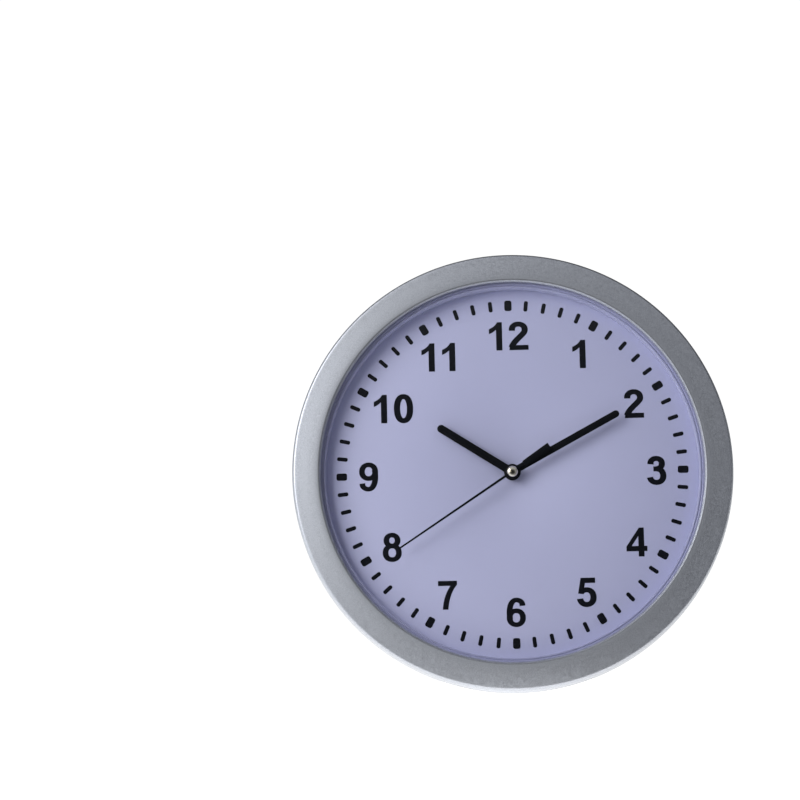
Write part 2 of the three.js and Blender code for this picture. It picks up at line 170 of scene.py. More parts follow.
def lathe(name, profile, seg=64, c=(0.0, 0.0), axis="Y", angle=32):
    """Turns (r, h) points about an axis. Axis Y: h is d and c is (x, z). Axis Z: h is z and c is (x, d). Axis X: h is x and c is (z, d)."""
    def at(r, h, t):
        u, v = r * math.cos(t), r * math.sin(t)
        if axis == "Y":
            return (c[0] + u, -h, c[1] + v)
        if axis == "Z":
            return (c[0] + u, -(c[1] + v), h)
        return (h, -(c[1] + v), c[0] + u)

    closed = profile[0][0] > 1e-6
    if closed and (Vector(profile[0]) - Vector(profile[-1])).length < 1e-6:
        profile = profile[:-1]
    verts, rings = [], []
    for r, h in profile:
        if r < 1e-6:
            rings.append([len(verts)])
            verts.append(at(0, h, 0))
        else:
            rings.append(list(range(len(verts), len(verts) + seg)))
            verts += [at(r, h, 2 * math.pi * k / seg) for k in range(seg)]
    faces = []
    pairs = list(zip(rings, rings[1:])) + ([(rings[-1], rings[0])] if closed else [])
    for a, b in pairs:
        for k in range(seg):
            j = (k + 1) % seg
            if len(a) == 1 and len(b) == 1:
                continue
            if len(a) == 1:
                faces.append([a[0], b[j], b[k]])
            elif len(b) == 1:
                faces.append([a[k], a[j], b[0]])
            else:
                faces.append([a[k], a[j], b[j], b[k]])
    return mesh_object(name, verts, faces, angle)


def rod(name, c, r, h0, h1, seg=32, axis="Y", edge=0.0, n=3):
    pts = [(0, h0), (r, h0), (r, h1), (0, h1)]
    if edge:
        pts = rounded(pts, [0, edge, edge, 0], n, closed=False)
    return lathe(name, pts, seg, c, axis)


def rbox(name, x0, x1, d0, d1, z0, z1, r=0.0, segs=2):
    """A box with rounded edges."""
    bm = bmesh.new()
    bmesh.ops.create_cube(bm, size=1.0)
    for v in bm.verts:
        v.co = Vector((
            ((x0 + x1) / 2 + v.co.x * (x1 - x0)) * MM,
            (-(d0 + d1) / 2 + v.co.y * (d1 - d0)) * MM,
            ((z0 + z1) / 2 + v.co.z * (z1 - z0)) * MM,
        ))
    if r:
        bmesh.ops.bevel(bm, geom=bm.edges[:], offset=r * MM, segments=segs, profile=0.5, affect="EDGES", clamp_overlap=True)
    bmesh.ops.recalc_face_normals(bm, faces=bm.faces)
    me = bpy.data.meshes.new(name)
    bm.to_mesh(me)
    bm.free()
    return shade(link(bpy.data.objects.new(name, me)))


def region(polys, holes=()):
    """The union of outlines less the holes, as points and triangles."""
    verts, faces = [], []
    for poly in list(polys) + list(holes):
        area = sum(a[0] * b[1] - b[0] * a[1] for a, b in zip(poly, list(poly[1:]) + [poly[0]]))
        poly = list(poly) if area > 0 else list(reversed(poly))
        faces.append(list(range(len(verts), len(verts) + len(poly))))
        verts += [Vector(q) for q in poly]
    n = len(polys)
    co, _, tris, _, _, source = delaunay_2d_cdt(verts, [], faces, 0, 1e-5)
    keep = [list(t) for t, o in zip(tris, source) if any(i < n for i in o) and not any(i >= n for i in o)]
    return co, keep


def prism(name, polys, d0, d1, holes=(), edge=0.0, steps=2, back_edge=0.0, angle=32):
    """An outline (x, z) raised from d0 to d1, with a rounded front edge."""
    co, tris = region(polys, holes)
    fixed = []
    for t in tris:
        a, b, c = (co[i] for i in t)
        if (b - a).cross(c - a) < 0:
            t = t[::-1]
        fixed.append(t)
    tris = fixed
    edges = {}
    for t in tris:
        for a, b in zip(t, t[1:] + t[:1]):
            edges[(a, b)] = True
    rim = [(a, b) for a, b in edges if (b, a) not in edges]
    nxt = dict(rim)
    prv = {b: a for a, b in rim}
    inward = {}
    for v in nxt:
        e1 = (co[v] - co[prv[v]]).normalized()
        e2 = (co[nxt[v]] - co[v]).normalized()
        n1, n2 = Vector((-e1.y, e1.x)), Vector((-e2.y, e2.x))
        k = 1 + n1.dot(n2)
        m = (n1 + n2) / max(k, 0.35)
        inward[v] = m
    layers = []
    if back_edge:
        for s in range(steps + 1):
            w = math.pi / 2 * s / steps
            layers.append((back_edge * (1 - math.sin(w)), d0 + back_edge * (1 - math.cos(w))))
    else:
        layers.append((0.0, d0))
    if edge:
        for s in range(steps + 1):
            w = math.pi / 2 * s / steps
            layers.append((edge * (1 - math.cos(w)), d1 - edge * (1 - math.sin(w))))
    else:
        layers.append((0.0, d1))
    used = sorted({i for t in tris for i in t})
    slot_of = {v: k for k, v in enumerate(used)}
    verts = []
    for inset, d in layers:
        for v in used:
            q = co[v] + inward.get(v, Vector((0, 0))) * inset
            verts.append((q.x, -d, q.y))
    size = len(used)
    faces = []
    last = (len(layers) - 1) * size
    for t in tris:
        k = [slot_of[i] for i in t]
        faces.append([last + i for i in k])
        faces.append(k[::-1])
    for a, b in rim:
        i, j = slot_of[a], slot_of[b]
        for s in range(len(layers) - 1):
            faces.append([s * size + i, s * size + j, (s + 1) * size + j, (s + 1) * size + i])
    me = bpy.data.meshes.new(name)
    me.from_pydata([(x * MM, y * MM, z * MM) for x, y, z in verts], [], faces)
    bm = bmesh.new()
    bm.from_mesh(me)
    loose = [v for v in bm.verts if not v.link_faces]
    bmesh.ops.delete(bm, geom=loose, context="VERTS")
    bmesh.ops.recalc_face_normals(bm, faces=bm.faces)
    bm.to_mesh(me)
    bm.free()
    return shade(link(bpy.data.objects.new(name, me)), angle)


def merge(name, objs):
    """Several objects as one mesh, without joining their surfaces."""
    bm = bmesh.new()
    for o in objs:
        bm.from_mesh(o.data)
    me = bpy.data.meshes.new(name)
    bm.to_mesh(me)
    bm.free()
    for o in objs:
        data = o.data
        bpy.data.objects.remove(o)
        bpy.data.meshes.remove(data)
    return shade(link(bpy.data.objects.new(name, me)))


def polar(c, r, deg):
    a = math.radians(deg)
    return (c[0] + r * math.cos(a), c[1] + r * math.sin(a))


def circle(c, r, n=48):
    return [polar(c, r, 360 * i / n) for i in range(n)]


def add(obj, body, mat, slot, *nodes):
    """Gives a piece its material and body, and hides the CAD nodes that it stands for. The slot argument is not used.
    """
    obj.data.materials.clear()
    for m in (mat if isinstance(mat, (list, tuple)) else [mat]):
        obj.data.materials.append(m)
    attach(obj, body)
    if nodes:
        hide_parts(*nodes)
    return obj


# ------------------------------------------------------------------ materials
class Nodes:
    """A short way to write a node tree."""

    def __init__(self, name):
        self.mat = bpy.data.materials.new(name)
        self.mat.use_nodes = True
        self.tree = self.mat.node_tree
        self.tree.nodes.clear()
        self.out = self.new("ShaderNodeOutputMaterial")
        self.coord = self.new("ShaderNodeTexCoord").outputs["Object"]

    def new(self, kind, **settings):
        n = self.tree.nodes.new(kind)
        for k, v in settings.items():
            setattr(n, k, v)
        return n

    def wire(self, a, b):
        self.tree.links.new(a, b)

    def noise(self, scale, detail=2.0, rough=0.5, coord=None, distortion=0.0):
        n = self.new("ShaderNodeTexNoise")
        self.wire(coord or self.coord, n.inputs["Vector"])
        n.inputs["Scale"].default_value = scale
        n.inputs["Detail"].default_value = detail
        n.inputs["Roughness"].default_value = rough
        n.inputs["Distortion"].default_value = distortion
        return n.outputs[0]

    def stretch(self, scale, rotation=(0, 0, 0)):
        m = self.new("ShaderNodeMapping")
        self.wire(self.coord, m.inputs["Vector"])
        m.inputs["Scale"].default_value = scale
        m.inputs["Rotation"].default_value = rotation
        return m.outputs[0]

    def ranged(self, value, lo, hi, to_lo, to_hi):
        m = self.new("ShaderNodeMapRange")
        self.wire(value, m.inputs[0])
        for k, v in zip((1, 2, 3, 4), (lo, hi, to_lo, to_hi)):
            m.inputs[k].default_value = v
        return m.outputs[0]

    def mix(self, fac, a, b):
        m = self.new("ShaderNodeMix", data_type="RGBA")
        if isinstance(fac, (int, float)):
            m.inputs[0].default_value = fac
        else:
            self.wire(fac, m.inputs[0])
        for k, v in ((6, a), (7, b)):
            if isinstance(v, (tuple, list)):
                m.inputs[k].default_value = (*v[:3], 1.0)
            else:
                self.wire(v, m.inputs[k])
        return m.outputs[2]

    def math(self, op, a, b=0.0):
        m = self.new("ShaderNodeMath", operation=op)
        for k, v in ((0, a), (1, b)):
            if isinstance(v, (int, float)):
                m.inputs[k].default_value = v
            else:
                self.wire(v, m.inputs[k])
        return m.outputs[0]

    def bump(self, height, strength, distance, normal=None):
        b = self.new("ShaderNodeBump")
        b.inputs["Strength"].default_value = strength
        b.inputs["Distance"].default_value = distance
        self.wire(height, b.inputs["Height"])
        if normal is not None:
            self.wire(normal, b.inputs["Normal"])
        return b.outputs[0]

    def principled(self, color, rough, metal=0.0, normal=None, **more):
        p = self.new("ShaderNodeBsdfPrincipled")
        if isinstance(color, (tuple, list)):
            p.inputs["Base Color"].default_value = (*color[:3], 1.0)
        else:
            self.wire(color, p.inputs["Base Color"])
        if isinstance(rough, (int, float)):
            p.inputs["Roughness"].default_value = rough
        else:
            self.wire(rough, p.inputs["Roughness"])
        p.inputs["Metallic"].default_value = metal
        for k, v in more.items():
            p.inputs[k.replace("_", " ")].default_value = v
        if normal is not None:
            self.wire(normal, p.inputs["Normal"])
        self.wire(p.outputs[0], self.out.inputs[0])
        return p


def tinted(c, k):
    return tuple(max(0.0, min(1.0, v * k)) for v in c)


def moulded(name, color, rough, grain=1600.0, depth=0.00004, strength=0.35, mottle=0.12, spec=0.5):
    """Moulded plastic: a fine spark-eroded grain, slight mottling and uneven gloss."""
    n = Nodes(name)
    fine = n.noise(grain, 3.0, 0.6)
    broad = n.noise(38.0, 3.0, 0.55)
    col = n.mix(n.ranged(broad, 0.35, 0.65, 0.0, 1.0), tinted(color, 1 - mottle), tinted(color, 1 + mottle))
    rgh = n.ranged(n.noise(140.0, 4.0, 0.6), 0.3, 0.7, rough - 0.05, rough + 0.06)
    n.principled(col, rgh, 0.0, n.bump(fine, strength, depth), Specular_IOR_Level=spec)
    return n.mat


def metal(name, color, rough, grain=900.0, streak=(1.0, 1.0, 1.0), strength=0.12, depth=0.00002, tint=0.08, rotation=(0, 0, 0)):
    """Bare or plated metal, with fine marks along one direction."""
    n = Nodes(name)
    marks = n.noise(grain, 3.0, 0.6, n.stretch(streak, rotation))
    broad = n.noise(90.0, 3.0, 0.6)
    col = n.mix(n.ranged(broad, 0.3, 0.7, 0.0, 1.0), tinted(color, 1 - tint), tinted(color, 1 + tint))
    rgh = n.ranged(marks, 0.3, 0.7, rough * 0.8, rough * 1.25)
    n.principled(col, rgh, 1.0, n.bump(marks, strength, depth))
    return n.mat


def silver_paint():
    n = Nodes("satin_silver_paint")
    flake = n.noise(2300.0, 2.0, 0.7)
    coarse = n.noise(800.0, 2.0, 0.6)
    cloud = n.noise(26.0, 3.0, 0.5)
    bright = n.mix(n.ranged(flake, 0.36, 0.64, 0.0, 1.0), SILVER_LO, SILVER_HI)
    col = n.mix(n.ranged(cloud, 0.3, 0.7, 0.0, 0.35), bright, SILVER_MID)
    sep = n.new("ShaderNodeSeparateXYZ")
    n.wire(n.coord, sep.inputs[0])
    radius = n.math("SQRT", n.math("ADD", n.math("POWER", sep.outputs[0], 2.0), n.math("POWER", sep.outputs[2], 2.0)))
    # painted shade: the paint colour is mixed towards black, up to a third, in a band at the ring's inner lip (110.2 to
    # 111.4 mm out), and up to 7 % fading in from 119 mm, standing in for shade at the inner edge
    edge = n.math("MULTIPLY", n.ranged(radius, 0.1102, 0.1106, 0.02, 0.34), n.ranged(radius, 0.1109, 0.1114, 1.0, 0.0))
    painted_inner_shade = n.math("ADD", n.ranged(radius, 0.1115, 0.1190, 0.07, 0.0), edge)
    col = n.mix(painted_inner_shade, col, (0.0, 0.0, 0.0))
    rgh = n.ranged(coarse, 0.3, 0.7, SILVER_ROUGH - 0.05, SILVER_ROUGH + 0.06)
    nrm = n.bump(flake, 0.16, 0.00006)
    nrm = n.bump(coarse, 0.10, 0.00008, nrm)
    n.principled(col, rgh, SILVER_METAL, nrm)
    return n.mat


def dial_card():
    n = Nodes("lavender_dial_card")
    fibre = n.noise(1300.0, 4.0, 0.65)
    broad = n.noise(16.0, 2.0, 0.5)
    col = n.mix(n.ranged(broad, 0.3, 0.7, 0.0, 1.0), tinted(DIAL_COLOR, 0.985), tinted(DIAL_COLOR, 1.015))
    rgh = n.ranged(n.noise(400.0, 3.0, 0.6), 0.3, 0.7, 0.50, 0.62)
    n.principled(col, rgh, 0.0, n.bump(fibre, 0.10, 0.00003), Specular_IOR_Level=0.3)
    return n.mat


def clear_lens():
    n = Nodes("clear_lens")
    fres = n.new("ShaderNodeFresnel")
    fres.inputs["IOR"].default_value = 1.46
    # only the side that a ray comes in by mirrors, so light isn't held inside the sheet
    outside = n.math("SUBTRACT", 1.0, n.new("ShaderNodeNewGeometry").outputs["Backfacing"])
    mirror = n.math("MULTIPLY", outside, n.math("MULTIPLY", fres.outputs[0], 1.6))
    t = n.new("ShaderNodeBsdfTransparent")
    t.inputs["Color"].default_value = (0.985, 0.987, 0.992, 1)
    g = n.new("ShaderNodeBsdfGlossy")
    g.inputs["Color"].default_value = (1, 1, 1, 1)
    n.wire(n.ranged(n.noise(30.0, 2.0, 0.5), 0.3, 0.7, 0.02, 0.05), g.inputs["Roughness"])
    m = n.new("ShaderNodeMixShader")
    n.wire(mirror, m.inputs[0])
    n.wire(t.outputs[0], m.inputs[1])
    n.wire(g.outputs[0], m.inputs[2])
    n.wire(m.outputs[0], n.out.inputs[0])
    return n.mat


SILVER_LO = (0.390, 0.409, 0.450)
SILVER_HI = (0.562, 0.583, 0.627)
SILVER_MID = (0.484, 0.505, 0.546)
SILVER_ROUGH = 0.48
SILVER_METAL = 0.90
DIAL_COLOR = (0.541, 0.551, 0.757)
REVEAL_COLOR = (0.38, 0.39, 0.58)

M_SILVER = silver_paint()
M_DIAL = dial_card()
M_LENS = clear_lens()
M_REVEAL = moulded("lavender_reveal_plastic", REVEAL_COLOR, 0.24, grain=900.0, depth=0.00002, strength=0.12, mottle=0.03, spec=0.9)
M_WALL = moulded("lavender_wall_plastic", (0.52, 0.53, 0.69), 0.40, grain=900.0, depth=0.00002, strength=0.15, mottle=0.02)
M_PAN = moulded("lavender_pan_plastic", (0.36, 0.365, 0.54), 0.45, grain=700.0, depth=0.00004, strength=0.25, mottle=0.05)
M_HOUSING = moulded("black_textured_housing", (0.018, 0.0185, 0.021), 0.48, grain=1500.0, depth=0.00007, strength=0.55, mottle=0.2)
M_TRAY = moulded("black_textured_tray", (0.020, 0.0205, 0.023), 0.52, grain=1300.0, depth=0.00006, strength=0.5, mottle=0.2)
M_CASE = moulded("black_movement_plastic", (0.016, 0.0165, 0.018), 0.36, grain=1100.0, depth=0.00003, strength=0.3, mottle=0.2)
M_LID = moulded("black_movement_lid", (0.022, 0.0225, 0.024), 0.44, grain=1500.0, depth=0.00005, strength=0.5, mottle=0.2)
M_RUBBER = moulded("black_rubber", (0.014, 0.014, 0.014), 0.72, grain=500.0, depth=0.00006, strength=0.4, mottle=0.25, spec=0.3)
M_NYLON = moulded("natural_nylon", (0.78, 0.76, 0.68), 0.42, grain=700.0, depth=0.00002, strength=0.2, mottle=0.04)
M_INK = moulded("black_printing_ink", (0.0040, 0.0048, 0.0078), 0.50, grain=1800.0, depth=0.00001, strength=0.3, mottle=0.12, spec=0.10)
M_HAND = moulded("black_lacquered_hands", (0.0036, 0.0044, 0.0060), 0.42, grain=1400.0, depth=0.00001, strength=0.3, mottle=0.15, spec=0.12)
M_STEEL = metal("zinc_plated_steel", (0.60, 0.61, 0.63), 0.30, grain=700.0, streak=(1, 1, 1))
M_PIN = metal("bright_steel", (0.62, 0.63, 0.65), 0.22, grain=500.0, streak=(1, 1, 0.05))
M_MAGNET = metal("nickel_plated_magnet", (0.60, 0.59, 0.57), 0.24, grain=900.0)
M_CORE = metal("stamped_core_steel", (0.46, 0.47, 0.49), 0.36, grain=700.0, streak=(1, 1, 0.08))
M_ROTOR = metal("sintered_rotor", (0.22, 0.22, 0.235), 0.42, grain=1200.0, strength=0.3)
M_BRASS = metal("turned_brass", (0.70, 0.50, 0.20), 0.28, grain=900.0, streak=(1, 0.05, 1))
M_CAP = metal("polished_nickel_cap", (0.78, 0.73, 0.60), 0.14, grain=900.0, strength=0.03, depth=0.00001, tint=0.03)


def copper_wire():
    n = Nodes("enamelled_copper_wire")
    w = n.new("ShaderNodeTexWave", wave_type="BANDS", bands_direction="X")
    n.wire(n.coord, w.inputs["Vector"])
    w.inputs["Scale"].default_value = 900.0
    w.inputs["Distortion"].default_value = 0.6
    w.inputs["Detail"].default_value = 1.0
    # painted shade and highlight: the copper colour goes darker where the bump is low, in the grooves between turns,
    # and lighter on the crests
    col = n.mix(w.outputs[1], (0.34, 0.12, 0.045), (0.62, 0.27, 0.11))
    n.principled(col, n.ranged(w.outputs[1], 0, 1, 0.38, 0.25), 0.85, n.bump(w.outputs[1], 0.7, 0.00006))
    return n.mat


def board_green():
    n = Nodes("green_circuit_board")
    v = n.new("ShaderNodeTexVoronoi", feature="DISTANCE_TO_EDGE")
    n.wire(n.coord, v.inputs["Vector"])
    v.inputs["Scale"].default_value = 420.0
    track = n.ranged(v.outputs[0], 0.02, 0.06, 1.0, 0.0)
    col = n.mix(track, (0.012, 0.085, 0.035), (0.05, 0.20, 0.09))
    n.principled(col, n.ranged(n.noise(300.0), 0.3, 0.7, 0.28, 0.4), 0.0, n.bump(track, 0.3, 0.00004))
    return n.mat


def cell_wrap():
    n = Nodes("plain_cell_wrap")
    sep = n.new("ShaderNodeSeparateXYZ")
    n.wire(n.coord, sep.inputs[0])
    band = n.math("GREATER_THAN", sep.outputs[0], 0.0105)
    line = n.math("COMPARE", sep.outputs[0], 0.0098)
    n.tree.nodes[-1].inputs[2].default_value = 0.0006
    broad = n.noise(60.0, 3.0, 0.5)
    dark = n.mix(broad, (0.030, 0.034, 0.042), (0.045, 0.050, 0.060))
    pale = n.mix(broad, (0.46, 0.47, 0.49), (0.54, 0.55, 0.57))
    col = n.mix(band, dark, pale)
    col = n.mix(line, col, (0.62, 0.63, 0.65))
    n.principled(col, n.ranged(n.noise(200.0), 0.3, 0.7, 0.20, 0.30), 0.55, n.bump(n.noise(500.0), 0.08, 0.00002))
    return n.mat


M_WRAP = cell_wrap()
M_COPPER = copper_wire()
M_BOARD = board_green()

# ------------------------------------------------------------------ the dimensions of the looks
R_OUT = 126.0
HINGE = (-119.5, 41.0)
BOLT_R = 119.0
KEY_Z = 84.0
AX_K = (15.7886, -2.5855)
HOUR = (303.0, 50.2, 4.6)
MINUTE = (61.8, 70.2, 4.0)
SECOND = (236.8, 77.9, 1.2)

# ------------------------------------------------------------------ the silver ring
crown = spline([(110.56, 59.92), (111.3, 59.985), (113.2, 59.955), (116.6, 59.75), (120.0, 59.50), (124.1, 59.21)], 4)
outer = arc(124.1, 56.2, 1.8, 3.0, 86, -2, 18)
ring_profile = (
    [(109.58, 57.85), (109.58, 58.45), (109.65, 58.62), (110.38, 59.80)]
    + crown
    + [q for q in outer if q[0] > 124.15]
    + [(126.0, 43.4), (125.88, 43.1), (125.6, 43.0), (124.0, 43.0), (123.7, 43.12), (123.6, 43.4), (123.4, 56.4), (122.0, 57.85)]
)
ring = lathe("silver_ring", ring_profile, 288, angle=30)
for i in range(6):
    c = polar((0, 0), BOLT_R, 30 + 60 * i)
    join(ring, rod("boss", c, 2.8, 46.5, 58.0, 32, edge=0.3))
    cut(ring, rod("pilot", c, 1.45, 46.0, 54.0, 24))
join(
    ring,
    rbox("web", -124.2, -118.7, 41.4, 44.2, -5.6, 5.6, 0.3),
    rod("knuckle", HINGE, 1.8, -5.6, 5.6, 40, "Z", edge=0.25),
)
cut(ring, rod("bore", HINGE, 0.95, -7, 7, 24, "Z"))
shade(ring, 30)
add(ring, "door", M_SILVER, "ring_silver", "bezel")

# ------------------------------------------------------------------ lens, reveal ring, dial and pan
lens = lathe("lens_disc", rounded([(0, 56.2), (113.8, 56.2), (113.8, 57.7), (0, 57.7)], [0, 0.25, 0.25, 0], 3, closed=False), 192)
add(lens, "door", M_LENS, "clear_lens", "lens")

reveal = lathe(
    "reveal_ring",
    rounded(
        [
            (106.95, 46.98), (111, 46.98), (111, 55.5), (108.75, 55.5), (108.62, 54.8), (108.12, 54.75), (108.0, 55.05), (107.35, 55.0), (106.95, 54.6),
        ],
        [0.1, 0.3, 0.2, 0.16, 0.05, 0.05, 0.1, 0.12, 0.12], 3,
    ),
    256,
)
add(reveal, "door", (M_REVEAL, M_WALL), "pan_lavender", "spacer_ring")
for f in reveal.data.polygons:
    f.material_index = 1 if math.hypot(f.center.x, f.center.z) < 0.10699 and -f.center.y < 0.0544 else 0

card = lathe("dial_card", rounded([(4.2, 46.3), (109.3, 46.3), (109.3, 46.9), (4.2, 46.9)], 0.08, 2), 256)
add(card, "door", M_DIAL, "dial_lavender", "dial")

pan = lathe(
    "dial_pan_plate",
    rounded(
        [(4.2, 44.4), (121.6, 44.4), (121.6, 46.2), (112.6, 46.2), (112.6, 49.2), (111.3, 49.2), (111.3, 46.2), (4.2, 46.2)],
        [0.2, 0.4, 0.3, 0.2, 0.25, 0.25, 0.2, 0.2], 3,
    ),
    192,
)
# two sunk rings are pressed into the back of the pan, inside its own thickness
for r0, r1 in ((60.0, 61.2), (96.0, 97.2)):
    cut(pan, lathe("groove", rounded([(r0, 44.0), (r1, 44.0), (r1, 44.75), (r0, 44.75)], [0, 0, 0.3, 0.3], 3), 160))
for s in (-1, 1):
    arm = sorted((s * 28.3, s * 29.9))
    barb = sorted((s * 27.25, s * 28.6))
    join(pan, rbox("arm", arm[0], arm[1], 39.0, 44.8, -6, 6, 0.3), rbox("barb", barb[0], barb[1], 39.8, 40.8, -6, 6, 0.2))
for i in range(6):
    cut(pan, rod("hole", polar((0, 0), BOLT_R, 30 + 60 * i), 1.6, 43.0, 47.0, 24))
shade(pan)
add(pan, "door", M_PAN, "pan_lavender", "dial_pan")

# ------------------------------------------------------------------ the print on the dial
PRINT_D0, PRINT_D1 = 46.9, 46.955
STEM, BAR = 1.80, 1.47       # half strokes, upright and level
THIN = (1.65, 1.34)          # the same, for 6, 8 and 9


def stroke(path, closed=False, a=STEM, b=BAR, start=None, end=None):
    """Quads along a centre line, thicker where it runs upright. start and end set how its ends are cut."""
    pts = [Vector(q) for q in path]
    n = len(pts)
    left, right = [], []
    for i, q in enumerate(pts):
        if closed:
            t = pts[(i + 1) % n] - pts[i - 1]
        else:
            t = pts[min(i + 1, n - 1)] - pts[max(i - 1, 0)]
        if start and i == 0:
            t = Vector(start)
        if end and i == n - 1:
            t = Vector(end)
        t.normalize()
        nx, ny = -t.y, t.x
        h = math.sqrt((a * nx) ** 2 + (b * ny) ** 2)
        left.append((q.x + nx * h, q.y + ny * h))
        right.append((q.x - nx * h, q.y - ny * h))
    out = []
    for i in range(n if closed else n - 1):
        j = (i + 1) % n
        out.append([left[i], left[j], right[j], right[i]])
    return out


def bezier(p0, p1, p2, p3, n=10):
    out = []
    for i in range(n + 1):
        t = i / n
        s = 1 - t
        out.append(tuple(s ** 3 * p0[k] + 3 * s * s * t * p1[k] + 3 * s * t * t * p2[k] + t ** 3 * p3[k] for k in (0, 1)))
    return out


def digit(ch):
    """A plain bold numeral, 16.6 mm high and centred, as outlines and holes."""
    if ch == "0":
        return stroke(arc(0, 0, 3.75, 7.03, 0, 360, 56, 2.25)[:-1], True), []
    if ch == "1":
        flag = bezier((0.25, 3.95), (-0.8, 2.75), (-2.2, 1.95), (-3.85, 1.35), 6)
        top = bezier((-3.85, 4.3), (-1.7, 5.1), (0.2, 6.6), (0.95, 8.3), 8)
        return [[(3.76, 8.3), (3.76, -8.3), (0.25, -8.3)] + flag + top], []
    if ch == "2":
        path = [(-3.72, 3.1)] + arc(-0.02, 3.72, 3.70, 3.24, 180, -28, 26, 2.1)
        path += bezier(path[-1], (2.0, 0.1), (-3.3, -3.3), (-4.1, -6.9), 14)[1:]
        base = [(-5.5, -8.3), (5.65, -8.3), (5.65, -5.4), (-3.7, -5.4), (-5.2, -6.6)]
        clip = [(-8, -8.3), (8, -8.3), (8, -12), (-8, -12)]
        return stroke(path, start=(0, 1)) + [base], [clip]
    if ch == "3":
        top = [(-3.55, 3.6)] + arc(-0.3, 3.93, 3.27, 3.0, 180, -90, 26, 2.1)
        low = arc(-0.3, -3.05, 3.86, 3.90, 90, -169, 28, 2.15)
        return stroke(top, start=(0.1, 1)) + stroke(low, end=(-0.15, 1)) + [[(-2.0, -0.55), (0.3, -0.55), (0.3, 2.3), (-2.0, 2.3)]], []
    if ch == "4":
        body = [
            (-5.95, -5.1), (0.95, -5.1), (0.95, -8.2), (4.25, -8.2), (4.25, -5.1), (6.0, -5.1), (6.0, -2.1),
            (4.25, -2.1), (4.25, 8.45), (1.45, 8.45), (-5.95, -2.35),
        ]
        return [body], [[(0.95, -2.1), (0.95, 3.6), (-2.9, -2.1)]]
    if ch == "5":
        bar = [(-3.5, 8.4), (4.8, 8.4), (4.8, 5.4), (-1.3, 5.4), (-4.0, 5.4)]
        stem = [(-3.5, 8.4), (-5.1, -0.55), (-2.15, -0.95), (-0.95, 6.2), (-0.95, 8.4)]
        low = arc(-0.28, -2.72, 3.88, 4.22, 140, -170, 30, 2.15)
        return [bar, stem] + stroke(low, end=(-0.12, 1)), []
    if ch in "69":
        bowl = arc(0.12, -3.07, 3.80, 3.98, 0, 360, 44, 2.15)[:-1]
        side = arc(0.35, -0.6, 4.03, 7.68, 205, 90, 24, 2.2) + arc(0.35, 4.01, 3.45, 3.07, 90, 0, 12, 2.1)[1:] + [(3.78, 3.7)]
        quads = stroke(bowl, True, *THIN) + stroke(side, False, *THIN, end=(0.1, -1))
        if ch == "9":
            quads = [[(-x, -y) for x, y in q] for q in quads]
        return quads, []
    if ch == "7":
        right = bezier((5.5, 5.9), (3.0, 3.3), (0.65, -1.9), (0.25, -8.3), 12)
        left = bezier((-2.95, -8.3), (-2.6, -2.6), (-0.6, 2.4), (1.75, 5.35), 12)
        return [[(-5.4, 8.2), (5.5, 8.2)] + right + left + [(-5.4, 5.3)]], []
    top = arc(0, 3.94, 3.20, 3.12, 0, 360, 40, 2.1)[:-1]
    low = arc(0, -3.14, 3.82, 3.92, 0, 360, 44, 2.15)[:-1]
    return stroke(top, True, *THIN) + stroke(low, True, *THIN), []


NUMERALS = {
    "12": (-0.10, 80.10), "1": (40.30, 68.58), "2": (70.95, 38.80), "3": (82.90, -0.30), "4": (70.00, -41.57),
    "5": (40.82, -69.65), "6": (0.02, -80.18), "7": (-38.65, -69.45), "8": (-69.81, -41.26), "9": (-82.34, -0.26),
    "10": (-67.45, 39.06), "11": (-40.85, 68.62),
}
SPREAD = {"12": (-7.45, 5.75), "10": (-7.45, 5.80), "11": (-5.95, 5.95)}
for text, (cx, cz) in NUMERALS.items():
    polys, holes = [], []
    for ch, dx in zip(text, SPREAD.get(text, (0.0,))):
        a, b = digit(ch)
        polys += [[(x + cx + dx, y + cz) for x, y in q] for q in a]
        holes += [[(x + cx + dx, y + cz) for x, y in q] for q in b]
    add(prism(f"numeral_{text}", polys, PRINT_D0, PRINT_D1, holes), "door", M_INK, "hand_black")

marks = []
for i in range(60):
    a = math.radians(90 - 6 * i)
    w, corner = (2.1, 1.2) if i % 5 == 0 else (1.14, 0.95)
    box = rounded([(94.85, -w), (101.0, -w), (101.0, w), (94.85, w)], corner, 5)
    marks.append([(u * math.cos(a) - v * math.sin(a), u * math.sin(a) + v * math.cos(a)) for u, v in box])
add(prism("minute_track", marks, PRINT_D0, PRINT_D1), "door", M_INK, "hand_black")


# ------------------------------------------------------------------ hands and cap
def along(deg, u, v):
    a = math.radians(deg)
    return (u * math.sin(a) + v * math.cos(a), u * math.cos(a) - v * math.sin(a))


def bar_outline(deg, length, width):
    r = width / 2
    tip = [(length - r + r * math.cos(t), -r * math.sin(t)) for t in [math.pi / 2 - math.pi * k / 14 for k in range(15)]]
    return [along(deg, u, v) for u, v in tip + [(0, r), (0, -r)]]


hour = prism("hour_hand_bar", [bar_outline(*HOUR), circle((0, 0), 4.75, 64)], 50.6, 51.4, [circle((0, 0), 2.55)], edge=0.16, back_edge=0.1)
add(hour, "hour_set", M_HAND, "hand_black", "hour_hand")
minute = prism("minute_hand_bar", [bar_outline(*MINUTE), circle((0, 0), 4.2, 64)], 52.2, 52.9, [circle((0, 0), 1.65)], edge=0.16, back_edge=0.1)
add(minute, "minute_set", M_HAND, "hand_black", "minute_hand")

